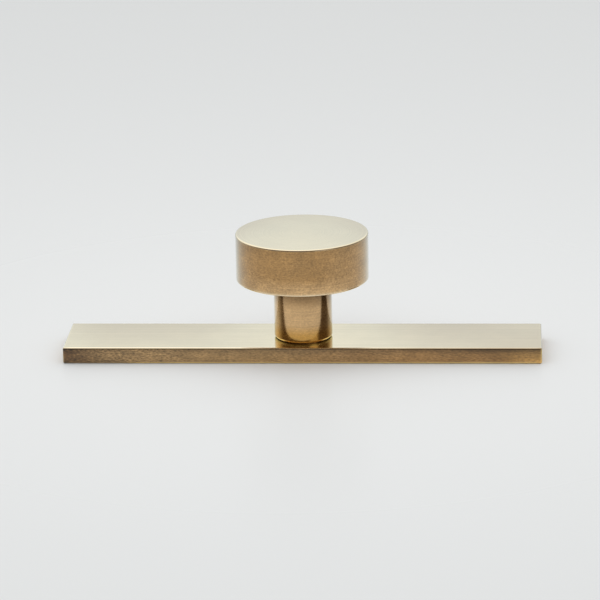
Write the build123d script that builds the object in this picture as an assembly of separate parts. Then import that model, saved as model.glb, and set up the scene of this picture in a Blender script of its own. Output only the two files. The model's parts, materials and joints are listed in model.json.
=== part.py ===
"""A round cabinet knob standing on a long flat backplate, both in solid brass.

Millimetres, +Z up. The origin is the centre of the plate's back face, the face that lies
against the door. +X runs along the plate and +Z points out of the door, along the knob's axis.
"""

from build123d import *
import math
import os

# Backplate, a length of flat bar
PLATE_LENGTH = 115.0
PLATE_WIDTH = 20.0
PLATE_THICKNESS = 4.0
PLATE_EDGE_RADIUS = 0.4
SCREW_HOLE_DIAMETER = 4.5
SCREW_HOLE_CHAMFER = 0.3

# Knob, turned in one piece from round bar
HEAD_DIAMETER = 32.0
HEAD_HEIGHT = 11.5
HEAD_EDGE_RADIUS = 0.4
NECK_DIAMETER = 14.0
NECK_HEIGHT = 14.5
NECK_ROOT_RADIUS = 0.5
FOOT_BEVEL_HEIGHT = 0.5
FOOT_BEVEL_DEPTH = 0.2

# Blind hole in the knob's foot, drilled for an M4 thread
TAP_DRILL_DIAMETER = 3.3
TAP_DEPTH = 13.0
TAP_MOUTH_DIAMETER = 4.3
DRILL_POINT_ANGLE = 118.0

# Heights that the knob takes from the pieces below it
FOOT_Z = PLATE_THICKNESS
NECK_TOP_Z = FOOT_Z + NECK_HEIGHT
HEAD_TOP_Z = NECK_TOP_Z + HEAD_HEIGHT


def make_backplate():
    """Flat bar with every edge eased, and one screw hole under the knob, chamfered at both mouths."""
    bar = Box(
        PLATE_LENGTH,
        PLATE_WIDTH,
        PLATE_THICKNESS,
        align=(Align.CENTER, Align.CENTER, Align.MIN),
    )
    eased = fillet(bar.edges(), PLATE_EDGE_RADIUS)
    hole = Cylinder(
        SCREW_HOLE_DIAMETER / 2,
        PLATE_THICKNESS,
        align=(Align.CENTER, Align.CENTER, Align.MIN),
    )
    drilled = eased - hole
    mouths = drilled.edges().filter_by(GeomType.CIRCLE).filter_by(
        lambda edge: math.isclose(edge.radius, SCREW_HOLE_DIAMETER / 2)
    )
    return chamfer(mouths, SCREW_HOLE_CHAMFER)


def knob_half_section():
    """Half section of the knob in the XZ plane: head, neck and foot, with the tapped hole left open."""
    head_r = HEAD_DIAMETER / 2
    neck_r = NECK_DIAMETER / 2
    tap_r = TAP_DRILL_DIAMETER / 2
    mouth_r = TAP_MOUTH_DIAMETER / 2
    edge = HEAD_EDGE_RADIUS
    root = NECK_ROOT_RADIUS
    tap_end_z = FOOT_Z + TAP_DEPTH
    drill_point_z = tap_end_z + tap_r / math.tan(math.radians(DRILL_POINT_ANGLE / 2))

    with BuildSketch(Plane.XZ) as section:
        with BuildLine():
            Line((0, drill_point_z), (0, HEAD_TOP_Z))
            Line((0, HEAD_TOP_Z), (head_r - edge, HEAD_TOP_Z))
            RadiusArc((head_r - edge, HEAD_TOP_Z), (head_r, HEAD_TOP_Z - edge), edge)
            Line((head_r, HEAD_TOP_Z - edge), (head_r, NECK_TOP_Z + edge))
            RadiusArc((head_r, NECK_TOP_Z + edge), (head_r - edge, NECK_TOP_Z), edge)
            Line((head_r - edge, NECK_TOP_Z), (neck_r + root, NECK_TOP_Z))
            RadiusArc((neck_r + root, NECK_TOP_Z), (neck_r, NECK_TOP_Z - root), -root)
            Line((neck_r, NECK_TOP_Z - root), (neck_r, FOOT_Z + FOOT_BEVEL_HEIGHT))
            Line((neck_r, FOOT_Z + FOOT_BEVEL_HEIGHT), (neck_r - FOOT_BEVEL_DEPTH, FOOT_Z))
            Line((neck_r - FOOT_BEVEL_DEPTH, FOOT_Z), (mouth_r, FOOT_Z))
            Line((mouth_r, FOOT_Z), (tap_r, FOOT_Z + mouth_r - tap_r))
            Line((tap_r, FOOT_Z + mouth_r - tap_r), (tap_r, tap_end_z))
            Line((tap_r, tap_end_z), (0, drill_point_z))
        make_face()
    return section.sketch


def make_knob():
    """One turned piece: the half section carried round the knob's axis."""
    return revolve(knob_half_section(), Axis.Z)


os.makedirs("parts", exist_ok=True)
export_step(make_backplate(), "parts/backplate.step")
export_step(make_knob(), "parts/knob.step")
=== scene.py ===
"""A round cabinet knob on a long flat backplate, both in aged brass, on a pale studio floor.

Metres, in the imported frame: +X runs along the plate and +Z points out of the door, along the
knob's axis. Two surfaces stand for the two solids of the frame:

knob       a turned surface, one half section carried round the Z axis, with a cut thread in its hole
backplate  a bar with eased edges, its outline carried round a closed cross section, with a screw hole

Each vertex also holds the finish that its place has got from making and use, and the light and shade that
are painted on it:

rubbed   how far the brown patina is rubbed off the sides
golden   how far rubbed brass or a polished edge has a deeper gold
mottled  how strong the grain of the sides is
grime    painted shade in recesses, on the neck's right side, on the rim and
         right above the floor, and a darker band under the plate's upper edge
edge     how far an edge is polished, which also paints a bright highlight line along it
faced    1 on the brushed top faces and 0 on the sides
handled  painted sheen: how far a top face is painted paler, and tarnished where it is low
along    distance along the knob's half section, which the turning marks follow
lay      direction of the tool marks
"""

import json
import math
from types import SimpleNamespace

import bpy
import numpy as np
from bpy.props import FloatProperty, FloatVectorProperty, IntProperty, PointerProperty
from bpy.types import Operator, Panel, PropertyGroup
from mathutils import Matrix, Vector


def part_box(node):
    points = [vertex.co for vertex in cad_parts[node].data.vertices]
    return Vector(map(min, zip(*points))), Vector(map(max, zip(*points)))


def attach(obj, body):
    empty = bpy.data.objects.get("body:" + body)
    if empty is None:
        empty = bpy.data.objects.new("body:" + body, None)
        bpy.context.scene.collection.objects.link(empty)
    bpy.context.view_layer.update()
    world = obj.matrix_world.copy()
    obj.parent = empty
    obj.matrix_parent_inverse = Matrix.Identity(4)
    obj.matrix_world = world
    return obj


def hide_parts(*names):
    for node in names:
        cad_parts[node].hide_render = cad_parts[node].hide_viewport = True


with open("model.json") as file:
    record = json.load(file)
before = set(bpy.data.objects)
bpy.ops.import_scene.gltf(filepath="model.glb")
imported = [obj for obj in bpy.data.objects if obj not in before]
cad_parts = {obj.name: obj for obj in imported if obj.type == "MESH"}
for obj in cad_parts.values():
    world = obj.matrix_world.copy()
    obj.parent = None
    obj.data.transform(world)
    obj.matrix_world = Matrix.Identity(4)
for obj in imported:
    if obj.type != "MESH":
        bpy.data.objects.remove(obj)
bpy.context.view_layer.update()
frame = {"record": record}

bl_info = {
    "name": "Brass knob and backplate",
    "version": (1, 0, 0),
    "blender": (4, 5, 0),
    "location": "View3D > Sidebar > Knob",
    "description": "Builds a turned brass knob, its backplate and a small studio around the packed frame",
    "category": "Object",
}

MM = 0.001

# Places that the frame gives
KNOB_LOW, KNOB_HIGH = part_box("knob")
PLATE_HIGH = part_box("backplate")[1]
MOUNTS = {mount["name"]: mount for mount in frame["record"]["mounts"]}
TAP_DRILL_RADIUS = MOUNTS["fixing_thread"]["dims"]["r_mm"] * MM
SCREW_HOLE_RADIUS = MOUNTS["screw_hole"]["dims"]["r_mm"] * MM


def length(name, description, default):
    """A length that the user may change, in metres."""
    return FloatProperty(
        name=name,
        description=description,
        default=default,
        min=0.0,
        precision=5,
        subtype="DISTANCE",
        unit="LENGTH",
    )


def colour(name, description, default):
    """A linear colour that the user may change."""
    return FloatVectorProperty(
        name=name,
        description=description,
        default=default,
        size=3,
        min=0.0,
        max=1.0,
        subtype="COLOR",
    )


def amount(name, description, default, most=1.0):
    """A plain number that the user may change."""
    return FloatProperty(name=name, description=description, default=default, min=0.0, max=most)


class KnobSizes(PropertyGroup):
    """Sizes of the turned knob."""

    head_diameter: length("Head diameter", "Across the disc head", 2 * min(KNOB_HIGH.x, KNOB_HIGH.y))
    head_height: length("Head height", "From the head's underside to its top", 11.5 * MM)
    head_edge: length("Head edge radius", "Round on the head's two edges", 0.4 * MM)
    head_crown: length("Head crown", "Fall of the buffed top from its middle to its edge", 0.02 * MM)
    buffed_width: length("Buffed width", "Width of the buffed roll-off beside the top edge", 1.2 * MM)
    buffed_fall: length("Buffed fall", "Fall of the roll-off where it meets the edge", 0.015 * MM)
    neck_diameter: length("Neck diameter", "Across the straight neck", 14.0 * MM)
    neck_root: length("Neck root radius", "Round in the corner under the head", 0.5 * MM)
    foot_bevel_height: length("Foot bevel height", "Top of the steep bevel above the plate", 0.56 * MM)
    foot_bevel_depth: length("Foot bevel depth", "How far the bevel cuts in", 0.2 * MM)
    foot_gap_height: length("Foot gap height", "Shadow gap between the bevel and the plate", 0.2 * MM)
    foot_gap_depth: length("Foot gap depth", "How far the shadow gap runs in under the foot", 0.8 * MM)
    tap_depth: length("Drilled depth", "Full width of the drilled hole, up from the foot", 13.0 * MM)
    tap_mouth: length("Mouth diameter", "Across the countersunk mouth of the hole", 4.3 * MM)
    thread_diameter: length("Thread diameter", "Across the thread's roots", 4.0 * MM)
    thread_pitch: length("Thread pitch", "Climb of the thread in one turn", 0.7 * MM)
    thread_length: length("Thread length", "Height of the cut thread above the foot", 11.0 * MM)
    columns: IntProperty(name="Columns", description="Steps round the knob", default=192, min=24)


class PlateSizes(PropertyGroup):
    """Sizes of the backplate."""

    edge_radius: length("Edge radius", "Round on all outer edges", 0.4 * MM)
    crown: length("Crown", "Fall of the buffed top from its middle line to its long edges", 0.05 * MM)
    hole_chamfer: length("Hole chamfer", "Chamfer at both mouths of the screw hole", 0.3 * MM)
    column_step: length("Column step", "Longest step along the outline", 1.25 * MM)


class BrassFinish(PropertyGroup):
    """Colours and gloss of the aged brass."""

    patina: colour("Patina", "Brown patina that has stayed on the sides", (0.424, 0.238, 0.079))
    rubbed: colour("Rubbed brass", "Brass where the patina is rubbed off", (0.682, 0.438, 0.206))
    # The polished and gilt edge colours also paint the bright highlight lines along the edges
    polished: colour("Polished edge", "Bright brass of the rubbed edges", (0.95, 0.81, 0.56))
    gilt: colour("Gilt edge", "Golden brass of the polished lower edges", (1.0, 0.74, 0.3))
    golden: colour("Golden tint", "Deeper gold of the rubbed brass round the foot", (0.68, 0.38, 0.1))
    faced: colour("Faced brass", "Pale brass of the brushed top faces", (0.52, 0.428, 0.265))
    roughness: amount("Roughness", "Mean roughness of the brushed metal", 0.16)
    anisotropy: amount("Anisotropy", "How far the tool marks stretch the gloss", 0.3)
    lacquer: amount("Lacquer", "Strength of the thin clear lacquer", 1.0)


class StageLook(PropertyGroup):
    """Floor, light and camera."""

    floor_colour: colour("Floor colour", "Pale satin floor right under the object", (0.92, 0.933, 0.931))
    # Painted light: the floor's colour darkens away from the object, a pool of light painted round it
    floor_light_falloff: amount("Floor fall", "How much darker the floor is far away", 0.262)
    floor_reach: length("Floor reach", "Distance at which the floor stops getting darker", 0.5)
    dome_radiance: amount("Dome", "Brightness of the even dome that lights the floor", 1.0, 10.0)
    backdrop_radiance: amount("Backdrop", "Brightness of the lit side behind and above", 1.05, 10.0)
    dim_side: colour("Dim side", "Warm dim glow of the unlit side in front", (0.14, 0.108, 0.085))
    fill_radiance: amount("Fill", "Brightness of a soft fill in front on the right", 0.6, 10.0)
    lens: amount("Lens", "Focal length in millimetres on a 36 mm sensor", 206.2, 1000.0)


# Curves that the surfaces are made of

def rounded_corner(before, corner, after, radius, steps):
    """Arc that eases one corner of a line. It leaves the first run and joins the second at a distance
    of radius * tan(turn / 2) from the corner, and turns evenly between. No radius gives the corner."""
    if radius == 0.0:
        return corner[None]
    into = (corner - before) / np.linalg.norm(corner - before)
    onward = (after - corner) / np.linalg.norm(after - corner)
    turn = math.atan2(into[0] * onward[1] - into[1] * onward[0], into @ onward)
    start = corner - into * radius * math.tan(abs(turn) / 2)
    centre = start + math.copysign(radius, turn) * np.array([-into[1], into[0]])
    angle = np.linspace(0.0, turn, steps + 1)
    spoke = start - centre
    across = spoke[0] * np.cos(angle) - spoke[1] * np.sin(angle)
    up = spoke[0] * np.sin(angle) + spoke[1] * np.cos(angle)
    return centre + np.stack([across, up], axis=1)


def inner_places(run, spacing, support):
    """Distances along a straight run where it is divided: evenly, at no more than the spacing, and
    once close to each end, so that a flat run stays flat next to a round."""
    even = np.linspace(0.0, run, max(2, math.ceil(run / spacing) + 1))[1:-1]
    ends = np.array([support, run - support])
    places = np.concatenate([even, ends])
    return np.unique(places[(places > support / 2) & (places < run - support / 2)])


def eased_line(corners, radii, steps, spacing, support):
    """Points along a line of straight runs whose inner corners are eased, and the runs divided."""
    corners = np.asarray(corners, float)
    arcs = [corners[:1]]
    for i in range(1, len(corners) - 1):
        arcs.append(rounded_corner(corners[i - 1], corners[i], corners[i + 1], radii[i], steps))
    arcs.append(corners[-1:])
    parts = [arcs[0]]
    for last, following in zip(arcs[:-1], arcs[1:]):
        run = np.linalg.norm(following[0] - last[-1])
        share = inner_places(run, spacing, support)[:, None] / run
        parts += [last[-1] + share * (following[0] - last[-1]), following]
    return np.concatenate(parts)


def linear_step(low, high, value):
    """0 at low, 1 at high, a straight line between, and held beyond. Low may be the larger one."""
    return np.clip((value - low) / (high - low), 0.0, 1.0)


def smooth_step(low, high, value):
    """As linear_step, with 3 t^2 - 2 t^3 in place of the straight line."""
    t = linear_step(low, high, value)
    return t * t * (3.0 - 2.0 * t)


# Meshes

WELD_DISTANCE = 1e-5 * MM
SHARP_ANGLE = math.radians(30.0)


def ring_faces(rows, columns, closed):
    """Quads between neighbouring rings of a grid whose columns run round. They point outwards where the
    rows run outwards over the top and the columns run anticlockwise. A closed grid joins its last row
    to its first."""
    row = np.arange(rows if closed else rows - 1)[:, None]
    column = np.arange(columns)[None]
    below = (row + 1) % rows
    beside = (column + 1) % columns
    corners = [
        row * columns + column,
        below * columns + column,
        below * columns + beside,
        row * columns + beside,
    ]
    return np.stack(np.broadcast_arrays(*corners), axis=-1).reshape(-1, 4)


def welded(points, quads, attributes):
    """Joins the points that lie at one place, as the columns of a plate corner do on its flat faces. A
    quad that loses one of its sides by this becomes a triangle, and one that loses more is left out."""
    keys = np.round(points / WELD_DISTANCE).astype(np.int64)
    first, joined = np.unique(keys, axis=0, return_index=True, return_inverse=True)[1:]
    quads = joined.reshape(-1)[quads]
    lost = quads == np.roll(quads, -1, axis=1)
    whole = quads[lost.sum(axis=1) == 0]
    cut = lost.sum(axis=1) == 1
    triangles = quads[cut][~lost[cut]].reshape(-1, 3)
    faces = whole.tolist() + triangles.tolist()
    return points[first], faces, {key: values[first] for key, values in attributes.items()}


def make_piece(name, node, points, faces, attributes, material):
    """Puts a computed surface into a mesh object that stands for one solid of the frame."""
    mesh = bpy.data.meshes.new(name)
    mesh.from_pydata(points.tolist(), [], faces)
    if mesh.validate():
        raise RuntimeError(f"{name}: the computed surface has faulty faces")
    for key, values in attributes.items():
        kind, field = ("FLOAT", "value") if values.ndim == 1 else ("FLOAT_VECTOR", "vector")
        layer = mesh.attributes.new(key, kind, "POINT")
        layer.data.foreach_set(field, values.astype(np.float32).ravel())
    mesh.shade_smooth()
    mesh.set_sharp_from_angle(angle=SHARP_ANGLE)
    mesh.materials.append(material)
    piece = bpy.data.objects.new(name, mesh)
    bpy.context.scene.collection.objects.link(piece)
    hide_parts(node)
    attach(piece, "root")


# Node trees

def set_inputs(tree, made, inputs):
    """Gives a node its inputs: numbers, colours, or the sockets that feed them."""
    for key, value in inputs.items():
        if isinstance(value, bpy.types.NodeSocket):
            tree.links.new(value, made.inputs[key])
        else:
            made.inputs[key].default_value = value


def add_node(tree, kind, inputs=None, **settings):
    """Adds one node with its settings and inputs."""
    made = tree.nodes.new(kind)
    for key, value in settings.items():
        setattr(made, key, value)
    set_inputs(tree, made, inputs or {})
    return made


def maths(tree, operation, *values, clamp=False):
    """One step of arithmetic on sockets and numbers."""
    inputs = dict(enumerate(values))
    return add_node(tree, "ShaderNodeMath", inputs, operation=operation, use_clamp=clamp).outputs[0]


def product(tree, *factors):
    """All factors multiplied."""
    total = factors[0]
    for factor in factors[1:]:
        total = maths(tree, "MULTIPLY", total, factor)
    return total


def ranged(tree, value, low, high, to_low=0.0, to_high=1.0, smooth=False):
    """Value carried from one range to another, held at the ends."""
    inputs = {
        "Value": value,
        "From Min": low,
        "From Max": high,
        "To Min": to_low,
        "To Max": to_high,
    }
    kind = "SMOOTHSTEP" if smooth else "LINEAR"
    return add_node(tree, "ShaderNodeMapRange", inputs, interpolation_type=kind).outputs["Result"]


def blended(tree, share, first, second, blend_type="MIX"):
    """Two colours mixed by a share."""
    made = add_node(tree, "ShaderNodeMix", data_type="RGBA", blend_type=blend_type)
    set_inputs(tree, made, {0: share, 6: first, 7: second})
    return made.outputs[2]


def levels(tree, share, first, second):
    """Two numbers mixed by a share."""
    inputs = {0: share, 2: first, 3: second}
    return add_node(tree, "ShaderNodeMix", inputs, data_type="FLOAT").outputs[0]


def shaded(tree, rgb, shade):
    """A colour times a shade."""
    return blended(tree, 1.0, rgb, shade, "MULTIPLY")


def solid(rgb):
    """A colour socket's four numbers."""
    return (*rgb, 1.0)


def object_place(tree):
    """The place on the piece, in metres."""
    return add_node(tree, "ShaderNodeTexCoord").outputs["Object"]


def scaled(tree, place, scale):
    """A place scaled along each axis, so that a noise is stretched where the scale is small."""
    return add_node(tree, "ShaderNodeMapping", {"Vector": place, "Scale": scale}).outputs[0]


def noise(tree, place, feature, detail=4.0, roughness=0.55, dimensions="3D"):
    """Cloudy noise whose features are about this size, in metres. Its mean is one half."""
    inputs = {"Scale": 1.0 / feature, "Detail": detail, "Roughness": roughness}
    inputs["W" if dimensions == "1D" else "Vector"] = place
    return add_node(tree, "ShaderNodeTexNoise", inputs, noise_dimensions=dimensions).outputs[0]


def moved(tree, value, strength, start, clamp=False):
    """A number moved about by a noise: start + strength * (noise - 1/2)."""
    centred = maths(tree, "SUBTRACT", value, 0.5)
    return maths(tree, "MULTIPLY_ADD", centred, strength, start, clamp=clamp)


def uneven(tree, value, strength):
    """A factor round 1 that follows a noise."""
    return moved(tree, value, strength, 1.0)


def attribute(tree, name, output="Fac"):
    """A value that the mesh holds at its vertices."""
    return add_node(tree, "ShaderNodeAttribute", attribute_name=name).outputs[output]


# Aged brass: sizes of its noises
CLOUD_SIZE = 8 * MM
PATCH_SIZE = 3 * MM
SPECK_SIZE = 0.5 * MM

# How far clouds and specks move the limit of the patina
CLOUD_DRIFT = 0.5
SPECK_DRIFT = 0.3

# How far noises and tool marks change the brightness of sides and tops, and the polish of edges
SPECKS_ON_SIDES = 1.2
PATCHES_ON_SIDES = 0.65
CLOUDS_ON_TOPS = 0.25
MARKS_ON_TOPS = 0.3
CLOUDS_ON_EDGES = 0.8

# Painted shade and grime: the value at the lightest place, where the neck's left side gets a little
# painted light, and in the deepest recess, where the painted shade is darkest, and the brightness that
# each leaves
LEAST_SHADE_AND_GRIME = -0.15
MOST_SHADE_AND_GRIME = 1.5
LIGHTEST_SHADE = 1.07
RECESS_SHADE = 0.28

# Tops: brightness gained from the painted sheen, and the tarnish where the sheen is low
SHEEN_GAIN = 0.19
TARNISH_START = 0.1
TARNISH_END = -0.9
MOST_TARNISH = 0.36

# Gloss and relief
SPECKS_ON_ROUGHNESS = 0.12
POLISHED_ROUGHNESS = 0.08
GOLDEN_LACQUER = 0.15
SPECK_RELIEF = 0.4
RELIEF_DEPTH = 0.004 * MM
RELIEF_STRENGTH = 0.25


def aged_brass(name, finish, tool_marks, mark_strength, patina_depth, speck_shape):
    """Lacquered brass with a brown patina. Clouds and fine specks move the patina about, it is rubbed off
    where the mesh says so, recesses and the plate's lowest edge have painted shade, edges are polished and
    paint highlight lines, and the faced tops are paler, with a painted sheen.
    tool_marks, as strong on the sides as mark_strength says, patina_depth and speck_shape are one
    piece's own."""
    material = bpy.data.materials.new(name)
    material.use_nodes = True
    tree = material.node_tree
    tree.nodes.clear()
    place = object_place(tree)
    speck_place = scaled(tree, place, speck_shape)
    clouds = noise(tree, place, CLOUD_SIZE)
    patches = noise(tree, speck_place, PATCH_SIZE)
    specks = noise(tree, speck_place, SPECK_SIZE, detail=2.0)
    marks = tool_marks(tree, place)
    rubbed = attribute(tree, "rubbed")
    golden = attribute(tree, "golden")
    mottled = attribute(tree, "mottled")
    sheen_and_tarnish = attribute(tree, "sheen_and_tarnish")

    # Brown patina against rubbed brass on the sides
    drift = moved(tree, clouds, CLOUD_DRIFT, rubbed)
    bare = moved(tree, specks, SPECK_DRIFT, drift, clamp=True)
    browned = shaded(tree, solid(finish.patina), patina_depth(tree, place))
    gilded = blended(tree, golden, solid(finish.rubbed), solid(finish.golden))
    sides = blended(tree, bare, browned, gilded)
    # The grain of the sides also carries the painted shade of recesses and the painted contact shadow
    # above the floor
    grain = product(
        tree,
        uneven(tree, specks, maths(tree, "MULTIPLY", mottled, SPECKS_ON_SIDES)),
        uneven(tree, patches, maths(tree, "MULTIPLY", mottled, PATCHES_ON_SIDES)),
        uneven(tree, marks, mark_strength),
        ranged(tree, attribute(tree, "shade_and_grime"), LEAST_SHADE_AND_GRIME, MOST_SHADE_AND_GRIME, LIGHTEST_SHADE, RECESS_SHADE),
    )

    # Pale tops with a painted sheen, lighter or darker where the mesh says, and tarnished where it is low
    sheen = product(
        tree,
        uneven(tree, clouds, CLOUDS_ON_TOPS),
        uneven(tree, marks, MARKS_ON_TOPS),
        maths(tree, "MULTIPLY_ADD", sheen_and_tarnish, SHEEN_GAIN, 1.0),
    )
    tarnish = ranged(tree, sheen_and_tarnish, TARNISH_START, TARNISH_END, 0.0, MOST_TARNISH)
    tops = shaded(tree, blended(tree, tarnish, solid(finish.faced), solid(finish.patina)), sheen)
    metal = blended(tree, attribute(tree, "faced"), shaded(tree, sides, grain), tops)

    # Polished edges, which also paint bright highlight lines
    edge = attribute(tree, "edge")
    wear_and_highlight = maths(tree, "MULTIPLY", edge, uneven(tree, clouds, CLOUDS_ON_EDGES), clamp=True)
    edging = blended(tree, golden, solid(finish.polished), solid(finish.gilt))
    coloured = blended(tree, wear_and_highlight, metal, edging)

    # Gloss and relief
    brushed = moved(tree, specks, SPECKS_ON_ROUGHNESS, finish.roughness)
    rough = levels(tree, wear_and_highlight, brushed, POLISHED_ROUGHNESS)
    lacquer = ranged(tree, golden, 0.0, 1.0, finish.lacquer, GOLDEN_LACQUER * finish.lacquer)
    grained = maths(tree, "MULTIPLY", specks, SPECK_RELIEF)
    height = maths(tree, "MULTIPLY_ADD", marks, mark_strength, grained)
    relief = {"Strength": RELIEF_STRENGTH, "Distance": RELIEF_DEPTH, "Height": height}
    bump = add_node(tree, "ShaderNodeBump", relief).outputs["Normal"]

    shader = add_node(
        tree,
        "ShaderNodeBsdfPrincipled",
        {
            "Base Color": coloured,
            "Metallic": 1.0,
            "Specular Tint": solid((0.9, 1.0, 0.98)),
            "Roughness": rough,
            "Normal": bump,
            "Tangent": attribute(tree, "lay", "Vector"),
            "Anisotropic": finish.anisotropy,
            "Anisotropic Rotation": 0.25,
            "Coat Weight": lacquer,
            "Coat Roughness": 0.12,
            "Coat IOR": 1.5,
        },
    )
    out = add_node(tree, "ShaderNodeOutputMaterial")
    tree.links.new(shader.outputs[0], out.inputs["Surface"])
    return material


# Turned work

RING_SIZE = 0.35 * MM
RING_WANDER = 0.3 * MM
RING_WANDER_SIZE = 12 * MM
TURNED_DRIFT_SIZE = 14 * MM
TURNED_DRIFT = 0.35


def turning_marks(tree, place):
    """Fine rings left by turning: noise along the half section, nearly the same all round."""
    wander = noise(tree, place, RING_WANDER_SIZE, detail=1.0)
    along = maths(tree, "MULTIPLY_ADD", wander, RING_WANDER, attribute(tree, "along"))
    return noise(tree, along, RING_SIZE, detail=3.0, dimensions="1D")


def even_patina(tree, place):
    """Turned work browns evenly, with a few broad darker drifts."""
    return uneven(tree, noise(tree, place, TURNED_DRIFT_SIZE, detail=2.0), TURNED_DRIFT)


TURNED_WORK = {
    "tool_marks": turning_marks,
    "mark_strength": 0.4,
    "patina_depth": even_patina,
    "speck_shape": (1.0, 1.0, 1.3),
}


# Brushed work

BRUSH_LINE_SIZE = 1.2 * MM
BRUSH_LINE_SHAPE = (0.012, 1.0, 1.0)
BRUSHED_DRIFT_SIZE = 2 * MM
BRUSHED_DRIFT_SHAPE = (0.2, 1.0, 1.0)
BRUSHED_DRIFT = 0.5
RAGGED_SIZE = 5 * MM
RAGGED_REACH = 9 * MM

# Patina of the plate's sides from the dark left end over a greyer half and a warmer half to the
# bright right end: place in mm, colour factor
PATINA_ALONG = (
    (-57.5, (0.25, 0.22, 0.22)),
    (-43.0, (0.83, 0.92, 1.17)),
    (-8.0, (1.12, 1.23, 1.5)),
    (14.0, (0.93, 0.94, 1.03)),
    (47.0, (0.96, 0.9, 0.85)),
    (57.5, (1.68, 1.68, 1.45)),
)


def brushing_marks(tree, place):
    """Long brush lines: noise stretched along X."""
    drawn = scaled(tree, place, BRUSH_LINE_SHAPE)
    return noise(tree, drawn, BRUSH_LINE_SIZE, detail=4.0, roughness=0.7)


def plate_patina(tree, place):
    """Patina that changes along the plate, with ragged limits and drawn-out drifts."""
    along = add_node(tree, "ShaderNodeSeparateXYZ", {0: place}).outputs["X"]
    ragged = moved(tree, noise(tree, place, RAGGED_SIZE), RAGGED_REACH, along)
    first = PATINA_ALONG[0][0]
    last = PATINA_ALONG[-1][0]
    share = ranged(tree, ragged, first * MM, last * MM)
    ramp = add_node(tree, "ShaderNodeValToRGB", {0: share})
    stops = ramp.color_ramp.elements
    while len(stops) < len(PATINA_ALONG):
        stops.new(1.0)
    for stop, (at, factor) in zip(stops, PATINA_ALONG):
        stop.position = (at - first) / (last - first)
        stop.color = solid(factor)
    drawn = scaled(tree, place, BRUSHED_DRIFT_SHAPE)
    drifts = uneven(tree, noise(tree, drawn, BRUSHED_DRIFT_SIZE), BRUSHED_DRIFT)
    return shaded(tree, ramp.outputs[0], drifts)


BRUSHED_WORK = {
    "tool_marks": brushing_marks,
    "mark_strength": 0.6,
    "patina_depth": plate_patina,
    "speck_shape": (0.6, 1.2, 2.0),
}


# The knob

DRILL_POINT_ANGLE = math.radians(118.0)
ARC_STEPS = 10
ROW_SPACING = 0.5 * MM
ROW_SUPPORT = 0.05 * MM
ROWS_PER_PITCH = 14

# The thread's flats and its run-out, as shares of the pitch
CREST_FLAT = 1 / 4
ROOT_FLAT = 1 / 8
RUN_OUT = 1.5

# Takes in the points that lie right on a limit
JUST_OVER = 1.01

# The knob's finish: how far the neck, the back of the rim and its right side are rubbed
NECK_RUBBED = 0.9
RIM_RUBBED_BEHIND = 0.25
RIM_RUBBED_RIGHT = 0.2

# Polish and painted highlight of the top edge behind and in front, painted shade on the neck's right side
# and on the rim behind
TOP_EDGE_BEHIND = 0.4
TOP_EDGE_FRONT = 0.9
NECK_SHADE_RIGHT = 0.3
RIM_SHADE_BEHIND = 0.4
NECK_MOTTLED = 0.5

# Painted sheen on the head's top: in its middle, what it gains toward the front and loses toward the two
# sides
HEAD_SHEEN = 0.46
HEAD_SHEEN_FRONT = 0.8
HEAD_SHEEN_SIDES = 0.95


def knob_places(sizes):
    """Radii and heights of the knob's half section."""
    return SimpleNamespace(
        top=KNOB_HIGH.z,
        foot=KNOB_LOW.z,
        neck_top=KNOB_HIGH.z - sizes.head_height,
        drilled_end=KNOB_LOW.z + sizes.tap_depth,
        head_r=sizes.head_diameter / 2,
        neck_r=sizes.neck_diameter / 2,
        mouth_r=sizes.tap_mouth / 2,
    )


def knob_outline(sizes, at):
    """Half section from the top's middle to the mouth of the hole: head, eased edges, neck and foot. The
    top falls by crown * (r / head radius)^2, and by fall * t^2 more over the roll-off beside its edge,
    across which t runs from 0 to 1."""
    gap_top = at.foot + sizes.foot_gap_height
    gap_r = at.neck_r - sizes.foot_gap_depth
    corners = [
        (0.0, at.top),
        (at.head_r, at.top - sizes.head_crown),
        (at.head_r, at.neck_top),
        (at.neck_r, at.neck_top),
        (at.neck_r, at.foot + sizes.foot_bevel_height),
        (at.neck_r - sizes.foot_bevel_depth, gap_top),
        (gap_r, gap_top),
        (gap_r, at.foot),
        (at.mouth_r, at.foot),
    ]
    radii = [0.0, sizes.head_edge, sizes.head_edge, sizes.neck_root, 0.0, 0.0, 0.0, 0.0, 0.0]
    outline = eased_line(corners, radii, ARC_STEPS, ROW_SPACING, ROW_SUPPORT)[1:]
    out = outline[:, 0] / at.head_r
    on_top = outline[:, 1] > at.top - JUST_OVER * sizes.head_crown
    rolled = linear_step(at.head_r - sizes.buffed_width, at.head_r, outline[:, 0])
    buffed = sizes.head_crown * (out - out**2) - sizes.buffed_fall * rolled**2
    outline[:, 1] += np.where(on_top, buffed, 0.0)
    return outline


def thread_depth(angle, height, sizes, foot):
    """Depth of the cut thread below the drilled wall, as a share of its full depth. It climbs one pitch
    in a turn. Across a pitch it has a crest flat of a quarter, straight flanks and a root flat of an
    eighth, and it fades out over the last pitch and a half."""
    phase = (height / sizes.thread_pitch - angle / (2 * math.pi)) % 1.0
    from_root = np.abs(phase - 0.5)
    cut = linear_step((1 - CREST_FLAT) / 2, ROOT_FLAT / 2, from_root)
    end = foot + sizes.thread_length
    return cut * smooth_step(end, end - RUN_OUT * sizes.thread_pitch, height)


def threaded_hole(sizes, at, angle):
    """Radius, by row and column, and height, by row, of the hole from its mouth up to the end of its full
    width. The radius is the largest of the mouth's cone, the drilled wall and the cut thread."""
    steps = math.ceil(ROWS_PER_PITCH * sizes.tap_depth / sizes.thread_pitch)
    rise = np.linspace(at.foot, at.drilled_end, steps + 1)[1:-1, None]
    cone = np.maximum(at.mouth_r - (rise - at.foot), TAP_DRILL_RADIUS)
    groove = sizes.thread_diameter / 2 - TAP_DRILL_RADIUS
    cut = TAP_DRILL_RADIUS + groove * thread_depth(angle[None], rise, sizes, at.foot)
    end = np.full((1, len(angle)), TAP_DRILL_RADIUS)
    return np.concatenate([np.maximum(cone, cut), end]), np.append(rise, at.drilled_end)


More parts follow.
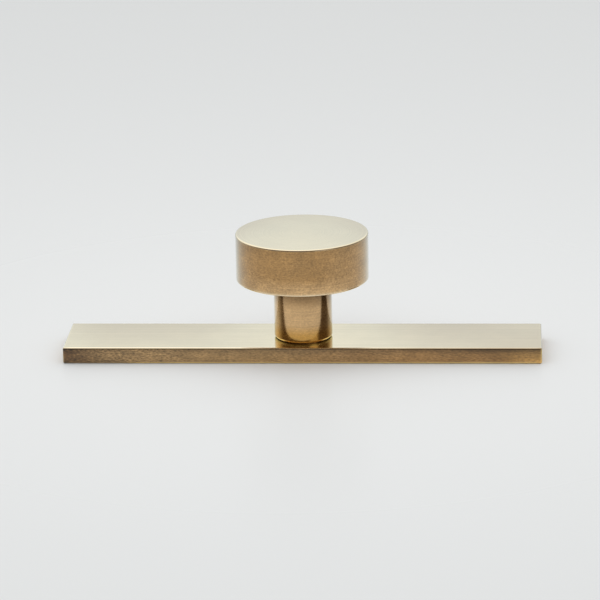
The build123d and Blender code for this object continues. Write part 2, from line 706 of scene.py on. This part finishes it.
def knob_finish(sizes, at, angle, points, reach, level):
    """Finish by place on the half section, one value a row, and by bearing round the knob. Each step runs
    between the two places that it names."""
    below_top = np.maximum(at.top - level, 0.0)
    above_bottom = np.maximum(level - at.neck_top, 0.0)
    from_edge = at.head_r - reach
    along = np.cumsum(np.hypot(np.diff(reach, prepend=0.0), np.diff(level, prepend=at.top)))

    # Zones of the half section
    on_face = smooth_step(0.45 * MM, 0.2 * MM, below_top - sizes.head_crown)
    on_rim = smooth_step(1.0 * MM, 0.2 * MM, from_edge)
    lower_rim = on_rim * linear_step(4.3 * MM, 0.7 * MM, above_bottom)
    upper_rim = on_rim * smooth_step(3.5 * MM, 0.6 * MM, below_top)
    under_head = (reach > at.neck_r) & (level < at.neck_top + 0.1 * MM)
    on_neck = (reach > at.neck_r - sizes.foot_bevel_depth) & (level < at.neck_top - 0.1 * MM)
    low_neck = NECK_RUBBED * smooth_step(at.neck_top - 2.0 * MM, at.neck_top - 7.0 * MM, level)
    high_neck = smooth_step(at.neck_top - 6.3 * MM, at.neck_top - 1.7 * MM, level)
    near_foot = smooth_step(at.foot + 5.0 * MM, at.foot + 1.5 * MM, level)
    bevel_r = at.neck_r - JUST_OVER * sizes.foot_bevel_depth
    on_bevel = (reach > bevel_r) & (level < at.foot + JUST_OVER * sizes.foot_bevel_height)
    top_edge = smooth_step(0.42 * MM, 0.3 * MM, from_edge) * smooth_step(0.34 * MM, 0.2 * MM, below_top)
    bottom_edge = smooth_step(0.55 * MM, 0.2 * MM, np.hypot(from_edge, level - at.neck_top))

    def per_vertex(row_values, at_pole=0.0, at_point=0.0):
        """Row values carried round, and the values at the top's middle and the drill's point."""
        return np.concatenate([np.repeat(row_values, sizes.columns), [at_pole, at_point]])

    # The rim is rubbed most in front and a little on the right
    x, y, z = points.T
    front = np.clip(-y / at.head_r, 0.0, 1.0) ** 4
    on_head = z > at.neck_top + 0.1 * MM
    front_rub = RIM_RUBBED_BEHIND + (1.0 - RIM_RUBBED_BEHIND) * front
    right_rub = RIM_RUBBED_RIGHT * smooth_step(0.2 * at.head_r, 0.7 * at.head_r, x)
    rubbed = per_vertex(np.select([on_neck, under_head], [low_neck, 1.0], lower_rim))
    rubbed = np.where(on_head, rubbed * front_rub + right_rub, rubbed)

    # The neck has painted shade: darkest under the head, darker on the right and a little lighter on the
    # left
    neck_side = NECK_SHADE_RIGHT * np.clip(x / at.neck_r, -0.5, 1.0)
    shade_and_grime = per_vertex(np.where(on_neck, high_neck, 0.0))
    shade_and_grime += neck_side * per_vertex(np.where(on_neck, 1.0, 0.0))
    # Painted shade on the rim under its top edge, away from the front
    shade_and_grime += RIM_SHADE_BEHIND * (1.0 - front) * per_vertex(upper_rim)

    # Polish and painted highlight of the top edge, strongest in front
    top_edge_polish_and_highlight = TOP_EDGE_BEHIND + (TOP_EDGE_FRONT - TOP_EDGE_BEHIND) * front
    top_edge_polish_and_highlight *= per_vertex(top_edge)
    # Painted sheen on the head's top: paler in front, darker toward the two sides
    sheen_and_tarnish = HEAD_SHEEN - HEAD_SHEEN_FRONT * y / at.head_r
    sheen_and_tarnish -= HEAD_SHEEN_SIDES * (x / at.head_r) ** 2
    round_lay = np.stack([-np.sin(angle), np.cos(angle), np.zeros_like(angle)], axis=1)
    return {
        "along": per_vertex(along, 0.0, along[-1] + TAP_DRILL_RADIUS),
        "rubbed": rubbed,
        "golden": per_vertex(np.where(on_neck | on_bevel, near_foot, 0.0)),
        "mottled": per_vertex(np.where(on_neck | under_head, NECK_MOTTLED, 1.0)),
        "shade_and_grime": shade_and_grime,
        # The foot's bevel and the head's lower edge are polished and also paint bright highlight lines
        "edge": np.maximum(top_edge_polish_and_highlight, per_vertex(np.where(on_bevel, 1.0, bottom_edge))),
        "faced": per_vertex(on_face, 1.0, 0.0),
        "sheen_and_tarnish": sheen_and_tarnish,
        "lay": np.concatenate([np.tile(round_lay, (len(level), 1)), [(1.0, 0.0, 0.0), (1.0, 0.0, 0.0)]]),
    }


def knob_surface(sizes):
    """The half section carried round Z: down the outside to the foot, then up the threaded hole to the
    drill's point. Returns points, faces, and the values that the finish reads."""
    at = knob_places(sizes)
    count = sizes.columns
    angle = np.arange(count) * 2 * math.pi / count
    outline = knob_outline(sizes, at)
    hole_radius, hole_level = threaded_hole(sizes, at, angle)
    radius = np.concatenate([np.repeat(outline[:, :1], count, axis=1), hole_radius])
    level = np.concatenate([outline[:, 1], hole_level])
    rows = len(level)
    height = np.repeat(level[:, None], count, axis=1)
    rings = np.stack([radius * np.cos(angle), radius * np.sin(angle), height], axis=-1).reshape(-1, 3)
    point = at.drilled_end + TAP_DRILL_RADIUS / math.tan(DRILL_POINT_ANGLE / 2)
    points = np.concatenate([rings, [(0.0, 0.0, at.top), (0.0, 0.0, point)]])

    column = np.arange(count)
    beside = (column + 1) % count
    pole = np.full_like(column, rows * count)
    last = (rows - 1) * count
    top_fan = np.stack([pole, column, beside], axis=1)
    point_fan = np.stack([last + column, pole + 1, last + beside], axis=1)
    quads = ring_faces(rows, count, closed=False)
    faces = top_fan.tolist() + quads.tolist() + point_fan.tolist()
    return points, faces, knob_finish(sizes, at, angle, points, radius.mean(axis=1), level)


# The backplate

CORNER_STEPS = 6
BEND_STEPS = 10
SIDE_STEPS = 9
FLAT_STEPS = 10

# Rows of the flat faces near their edge, by distance from where the eased edge begins
EDGE_INSETS = np.array([4.0, 2.5, 1.6, 1.0, 0.6, 0.3, 0.12, 0.03]) * MM

# The plate's finish: polish and painted highlight of the upper edge on the right, where it is 1 on the
# left, and of the lower edge at the left end and in the middle, where it is 1 on the right
UPPER_EDGE_RIGHT = 0.35
LOWER_EDGE_LEFT = 0.15
LOWER_EDGE_MIDDLE = 0.75

# Polish and painted highlight of the upright corners, the share of it low down on the left ones, the share
# of the long edges' polish that the edges of the ends have, and how soon a polished lower edge is golden
CORNER_POLISH = 0.4
LEFT_CORNER = 0.6
END_EDGE = 0.5
GOLD_GAIN = 2.5

# Grime under the upper edge: width and strength at the left end, what each gains past it, and the strength
# on the right. Last, the painted contact shadow right above the floor
BAND_WIDTH = 1.3 * MM
BAND_WIDENS = 1.0 * MM
BAND_GRIME = 0.7
BAND_DARKENS = 0.2
RIGHT_GRIME = 1.6
CONTACT_SHADE = 1.5

# Painted sheen on the top: reach of the patch round the knob, what this patch and the left end gain, what
# the right side loses, what the front gains over the back, how far that turns round at the right end, and
# what all places lose
SHEEN_REACH = 17.0 * MM
SHEEN_KNOB = 1.55
SHEEN_LEFT = 0.45
SHEEN_DULL = 0.35
SHEEN_FRONT = 0.35
SHEEN_TURN = 1.5
SHEEN_LOSS = 0.4

# Grain of the sides, what it gains on the left, and how far the bare left end is smooth and rubbed
SIDE_GRAIN = 1.55
LEFT_GRAIN = 1.3
BARE_END_SMOOTH = 0.75
BARE_END_RUBBED = 0.9


def plate_outline(half_length, half_width, step):
    """The plate's outline, anticlockwise, as base points and plan normals. Along a side the base point
    moves and the normal stays; round a corner the point stays and the normal turns."""
    points = []
    normals = []
    ends = [(-1, -1), (1, -1), (1, 1), (-1, 1)]
    size = np.array([half_length, half_width])
    for i, start in enumerate(ends):
        a = np.array(start) * size
        b = np.array(ends[(i + 1) % 4]) * size
        count = math.ceil(np.linalg.norm(b - a) / step)
        share = np.linspace(0.0, 1.0, count + 1)[:, None]
        facing = math.radians(-90.0 + 90.0 * i)
        turn = facing + np.linspace(0.0, math.pi / 2, CORNER_STEPS + 1)[1:-1]
        points += [a + share * (b - a), np.repeat(b[None], len(turn), axis=0)]
        angles = np.concatenate([np.full(count + 1, facing), turn])
        normals.append(np.stack([np.cos(angles), np.sin(angles)], axis=1))
    return np.concatenate(points), np.concatenate(normals)


def plate_finish(points):
    """Finish by place on the plate. Each step runs between the two places that it names."""
    top = PLATE_HIGH.z
    x, y, z = points.T
    from_end = PLATE_HIGH.x - np.abs(x)
    from_long_side = PLATE_HIGH.y - np.abs(y)
    faced = smooth_step(top - 0.35 * MM, top - 0.12 * MM, z)
    under = smooth_step(0.16 * MM, 0.08 * MM, z)
    at_end = smooth_step(0.3 * MM, 0.1 * MM, from_end)
    bare_end = smooth_step(PLATE_HIGH.x - 0.1 * MM, PLATE_HIGH.x - 0.02 * MM, -x)

    # Edges, polished and with painted highlights: brightest above on the left, golden below and most so on
    # the right
    near_edge = smooth_step(0.55 * MM, 0.3 * MM, np.minimum(from_end, from_long_side))
    brightness = 1.0 - (1.0 - UPPER_EDGE_RIGHT) * smooth_step(-20 * MM, 35 * MM, x)
    upper_edge = brightness * near_edge * smooth_step(top - 0.3 * MM, top - 0.15 * MM, z)
    gold = LOWER_EDGE_LEFT + (LOWER_EDGE_MIDDLE - LOWER_EDGE_LEFT) * smooth_step(-50 * MM, -28 * MM, x)
    gold += (1.0 - LOWER_EDGE_MIDDLE) * smooth_step(20 * MM, 50 * MM, x)
    lower_edge = gold * near_edge * smooth_step(0.44 * MM, 0.32 * MM, z) * (1.0 - under)
    corner = smooth_step(0.4 * MM, 0.2 * MM, from_end) * smooth_step(0.4 * MM, 0.2 * MM, from_long_side)
    left_corner = LEFT_CORNER * smooth_step(top, 0.3 * top, z)
    corner_edge = CORNER_POLISH * corner * np.where(x > 0.0, 1.0, left_corner) * (1.0 - under)
    long_edge = np.where(from_end > 0.45 * MM, 1.0, END_EDGE) * np.maximum(upper_edge, lower_edge)

    # Grime under the upper edge: a narrow band, which widens toward the right end
    past_left = smooth_step(-45 * MM, -15 * MM, x)
    width = BAND_WIDTH + BAND_WIDENS * past_left
    narrow = (BAND_GRIME + BAND_DARKENS * past_left) * smooth_step(top - width, top - 0.3 * MM, z)
    wide = RIGHT_GRIME * linear_step(0.4 * MM, top - 0.4 * MM, z)
    right_part = smooth_step(29 * MM, 50 * MM, x)
    under_edge = narrow + (wide - narrow) * right_part

    # Painted sheen on the top: lightest round the knob, some at the left end, least on the right. Beside
    # the knob the front gets more of it than the back, and at the right end less
    near_knob = np.exp(-((x / SHEEN_REACH) ** 2))
    left_end = smooth_step(48 * MM, 57 * MM, -x)
    dull_side = smooth_step(15 * MM, 40 * MM, x)
    front_share = 1.0 - near_knob - SHEEN_TURN * smooth_step(38 * MM, 54 * MM, x)
    toward_front = front_share * -y / PLATE_HIGH.y
    sheen_and_tarnish = SHEEN_KNOB * near_knob + SHEEN_LEFT * left_end - SHEEN_DULL * dull_side
    sheen_and_tarnish += SHEEN_FRONT * toward_front - SHEEN_LOSS

    grain = SIDE_GRAIN + LEFT_GRAIN * smooth_step(15 * MM, 45 * MM, -x)
    return {
        "rubbed": BARE_END_RUBBED * bare_end,
        "golden": np.clip(GOLD_GAIN * np.maximum(lower_edge, corner_edge), 0.0, 1.0),
        "mottled": grain * (1.0 - BARE_END_SMOOTH * bare_end),
        # Painted contact shadow on the round just above the floor, and the darker band under the upper
        # edge
        "shade_and_grime": (1.0 - faced) * np.maximum(under_edge, CONTACT_SHADE * under),
        "edge": np.maximum(long_edge, corner_edge),
        "faced": faced,
        "sheen_and_tarnish": sheen_and_tarnish,
        "lay": np.stack([1.0 - at_end, at_end, np.zeros_like(x)], axis=1),
    }


def plate_surface(sizes):
    """The outline carried round a closed section: out over the top, down the eased side, in over the
    back, and up through the chamfered screw hole. The top falls by crown * (y / half width)^2."""
    top = PLATE_HIGH.z
    ease = sizes.edge_radius
    half = np.array([PLATE_HIGH.x - ease, PLATE_HIGH.y - ease])
    base, normal = plate_outline(half[0], half[1], sizes.column_step)
    bearing = np.arctan2(base[:, 1], base[:, 0])
    spoke = np.stack([np.cos(bearing), np.sin(bearing)], axis=1)

    # Flat faces, from the mouth of the hole to the eased edge
    mouth = (SCREW_HOLE_RADIUS + sizes.hole_chamfer) * spoke
    edge_rows = base * (half - EDGE_INSETS[:, None, None]) / half
    share = np.linspace(0.0, 1.0, FLAT_STEPS + 1)[:-1, None, None]
    flat = np.concatenate([mouth + share * (edge_rows[0] - mouth), edge_rows])

    # Eased side, from the top to the back
    bend = np.linspace(0.0, math.pi / 2, BEND_STEPS + 1)
    wall = np.linspace(top - ease, ease, SIDE_STEPS + 1)[1:-1]
    side_level = np.concatenate([top - ease + ease * np.cos(bend), wall, ease - ease * np.sin(bend)])
    side_reach = np.concatenate([ease * np.sin(bend), np.full(len(wall), ease), ease * np.cos(bend)])
    side = base + side_reach[:, None, None] * normal

    # Wall of the hole, from the back to the top
    hole_level = np.array([sizes.hole_chamfer, top / 2, top - sizes.hole_chamfer])
    hole = np.repeat(SCREW_HOLE_RADIUS * spoke[None], len(hole_level), axis=0)

    plan = np.concatenate([flat, side, flat[::-1], hole])
    level = np.concatenate([np.full(len(flat), top), side_level, np.zeros(len(flat)), hole_level])
    rows, columns = plan.shape[:2]
    fall = sizes.crown * (plan[:, :, 1] / PLATE_HIGH.y) ** 2
    height = level[:, None] - fall * smooth_step(top / 2, top, level)[:, None]
    points = np.concatenate([plan, height[:, :, None]], axis=2).reshape(-1, 3)
    quads = ring_faces(rows, columns, closed=True)
    return welded(points, quads, plate_finish(points))


class KNOBSET_OT_knob(Operator):
    """Turn the brass knob with its threaded hole."""

    bl_idname = "knobset.knob"
    bl_label = "Turn the knob"

    def execute(self, context):
        points, faces, attributes = knob_surface(context.scene.knob_sizes)
        brass = aged_brass("turned_brass", context.scene.brass_finish, **TURNED_WORK)
        make_piece("turned_knob", "knob", points, faces, attributes, brass)
        return {"FINISHED"}


class KNOBSET_OT_backplate(Operator):
    """Cut the brass backplate with its screw hole."""

    bl_idname = "knobset.backplate"
    bl_label = "Cut the backplate"

    def execute(self, context):
        points, faces, attributes = plate_surface(context.scene.plate_sizes)
        brass = aged_brass("brushed_brass", context.scene.brass_finish, **BRUSHED_WORK)
        make_piece("brushed_backplate", "backplate", points, faces, attributes, brass)
        return {"FINISHED"}


# The stage

FLOOR_RADIUS = 6.0
FLOOR_COLUMNS = 96
FLOOR_FALL_POWER = 0.4
FLOOR_ROUGHNESS = 0.3
FLOOR_GLOSS_REACH = 0.25

# Directions of the glow: the lit side, the fill, and the slope of the dome's brightness
LIT_TOWARD = (-0.2, 1.0, 1.12)
FILL_TOWARD = (0.67, -0.67, 0.31)
DOME_SLOPE = (-0.07, 0.15, 0.675)
DOME_LEVEL = 0.55

# Where the lit side and the fill begin and are full, by the dot product with their directions
LIT_BEGINS = 0.4
LIT_FULL = 1.2
FILL_BEGINS = 0.92
FILL_FULL = 0.985

# Heights of direction between which the lit side gains brightness, and its shares there
GAIN_BEGINS = 0.24
GAIN_ENDS = 0.36
LOW_SHARE = 0.88
HIGH_SHARE = 1.2

# Heights of direction between which the horizon's band fades out
HORIZON_FADES = 0.06
HORIZON_ENDS = 0.13

# Camera, in millimetres and degrees
CAMERA_PLACE = (50.44, -791.54, 255.54)
CAMERA_TARGET = (-0.715, 0.0, 12.93)
CAMERA_ROLL = -1.1
SENSOR_WIDTH = 36.0


def satin_floor(look):
    """Pale satin board with a weak gloss. It darkens away from the object by
    fall * (distance / reach)^power, as far as the reach: a pool of light painted round the object. Its
    gloss is
    sharper far away: roughness / sqrt(1 + (distance / gloss reach)^2)."""
    material = bpy.data.materials.new("satin_floor")
    material.use_nodes = True
    tree = material.node_tree
    distance_node = add_node(tree, "ShaderNodeVectorMath", {0: object_place(tree)}, operation="LENGTH")
    distance = distance_node.outputs["Value"]
    # Painted light: the floor's colour falls off away from the object
    share = maths(tree, "DIVIDE", distance, look.floor_reach, clamp=True)
    fall = maths(tree, "MULTIPLY", maths(tree, "POWER", share, FLOOR_FALL_POWER), look.floor_light_falloff)
    toned = blended(tree, 1.0, solid(look.floor_colour), fall, "SUBTRACT")
    spread = maths(tree, "POWER", maths(tree, "DIVIDE", distance, FLOOR_GLOSS_REACH), 2.0)
    sharpening = maths(tree, "POWER", maths(tree, "ADD", spread, 1.0), -0.5)
    rough = maths(tree, "MULTIPLY", sharpening, FLOOR_ROUGHNESS)
    shader = tree.nodes["Principled BSDF"]
    set_inputs(tree, shader, {"Base Color": toned, "Roughness": rough, "Specular IOR Level": 0.02})
    return material


def make_floor(look):
    """A wide flat disc under the plate's back face."""
    angle = np.arange(FLOOR_COLUMNS) * 2 * math.pi / FLOOR_COLUMNS
    rim = FLOOR_RADIUS * np.stack([np.cos(angle), np.sin(angle), np.zeros(FLOOR_COLUMNS)], axis=1)
    mesh = bpy.data.meshes.new("floor")
    mesh.from_pydata(rim.tolist(), [], [list(range(FLOOR_COLUMNS))])
    mesh.materials.append(satin_floor(look))
    floor = bpy.data.objects.new("floor", mesh)
    bpy.context.scene.collection.objects.link(floor)


def dot(tree, toward, direction):
    """Dot product of the ray's direction and a given one."""
    inputs = {0: toward, 1: direction}
    return add_node(tree, "ShaderNodeVectorMath", inputs, operation="DOT_PRODUCT").outputs["Value"]


def make_world(scene, look):
    """A studio as a smooth glow by direction: lit from behind and above, dim and warm in front with a soft
    fill, and with the far floor's tone along the horizon. The light that the floor's matt surface takes
    comes from an even dome instead, level + slope . direction, which gives soft shadows."""
    world = bpy.data.worlds.new("studio")
    scene.world = world
    world.use_nodes = True
    world.cycles.sampling_method = "NONE"
    tree = world.node_tree
    tree.nodes.clear()
    toward = add_node(tree, "ShaderNodeTexCoord").outputs["Generated"]
    up = add_node(tree, "ShaderNodeSeparateXYZ", {0: toward}).outputs["Z"]

    # Lit side against dim side, and the fill
    lit = ranged(tree, dot(tree, toward, LIT_TOWARD), LIT_BEGINS, LIT_FULL, smooth=True)
    backdrop = look.backdrop_radiance
    bright = ranged(tree, up, GAIN_BEGINS, GAIN_ENDS, LOW_SHARE * backdrop, HIGH_SHARE * backdrop)
    sky = blended(tree, lit, solid(look.dim_side), bright)
    aside = dot(tree, toward, FILL_TOWARD)
    fill = ranged(tree, aside, FILL_BEGINS, FILL_FULL, 0.0, look.fill_radiance, smooth=True)
    filled = blended(tree, 1.0, sky, fill, "ADD")

    # Band along the horizon
    low = ranged(tree, up, HORIZON_FADES, HORIZON_ENDS, 1.0, 0.0, smooth=True)
    far_floor = [look.dome_radiance * (part - look.floor_light_falloff) for part in look.floor_colour]
    studio = blended(tree, low, filled, solid(far_floor))

    # Dome for the light on the floor
    from_floor = add_node(tree, "ShaderNodeLightPath").outputs["Diffuse Depth"]
    slope = maths(tree, "ADD", dot(tree, toward, DOME_SLOPE), DOME_LEVEL)
    dome = maths(tree, "MULTIPLY", slope, look.dome_radiance)
    glow = blended(tree, from_floor, studio, dome)
    background = add_node(tree, "ShaderNodeBackground", {"Color": glow})
    out = add_node(tree, "ShaderNodeOutputWorld")
    tree.links.new(background.outputs[0], out.inputs["Surface"])


def make_camera(scene, look):
    """The photograph's view: a long lens, 17 degrees above the floor and a little to the right."""
    data = bpy.data.cameras.new("camera")
    data.sensor_width = SENSOR_WIDTH
    data.lens = look.lens
    camera = bpy.data.objects.new("camera", data)
    place = Vector(CAMERA_PLACE) * MM
    target = Vector(CAMERA_TARGET) * MM
    roll = Matrix.Rotation(math.radians(CAMERA_ROLL), 4, "Z")
    level = (target - place).to_track_quat("-Z", "Y").to_matrix().to_4x4()
    camera.matrix_world = Matrix.Translation(place) @ level @ roll
    scene.collection.objects.link(camera)
    scene.camera = camera


class KNOBSET_OT_stage(Operator):
    """Set up the floor, the light and the camera."""

    bl_idname = "knobset.stage"
    bl_label = "Set the stage"

    def execute(self, context):
        scene = context.scene
        look = scene.stage_look
        make_floor(look)
        make_world(scene, look)
        make_camera(scene, look)
        scene.view_settings.view_transform = "Standard"
        return {"FINISHED"}


class KNOBSET_PT_panel(Panel):
    """Sizes, finish and stage of the knob and its backplate."""

    bl_idname = "KNOBSET_PT_panel"
    bl_label = "Knob and backplate"
    bl_space_type = "VIEW_3D"
    bl_region_type = "UI"
    bl_category = "Knob"

    def draw(self, context):
        for group, operator in GROUPS_SHOWN:
            column = self.layout.column(align=True)
            settings = getattr(context.scene, group)
            for key in settings.__annotations__:
                column.prop(settings, key)
            if operator:
                column.operator(operator)


GROUPS_SHOWN = (
    ("knob_sizes", "knobset.knob"),
    ("plate_sizes", "knobset.backplate"),
    ("brass_finish", None),
    ("stage_look", "knobset.stage"),
)

SETTINGS = {
    "knob_sizes": KnobSizes,
    "plate_sizes": PlateSizes,
    "brass_finish": BrassFinish,
    "stage_look": StageLook,
}

CLASSES = (
    *SETTINGS.values(),
    KNOBSET_OT_knob,
    KNOBSET_OT_backplate,
    KNOBSET_OT_stage,
    KNOBSET_PT_panel,
)


def register():
    for cls in CLASSES:
        bpy.utils.register_class(cls)
    for key, group in SETTINGS.items():
        setattr(bpy.types.Scene, key, PointerProperty(type=group))


def unregister():
    for key in SETTINGS:
        delattr(bpy.types.Scene, key)
    for cls in reversed(CLASSES):
        bpy.utils.unregister_class(cls)


def main():
    """Builds the pieces and the stage."""
    register()
    bpy.ops.knobset.knob()
    bpy.ops.knobset.backplate()
    bpy.ops.knobset.stage()


if __name__ == "__main__":
    main()
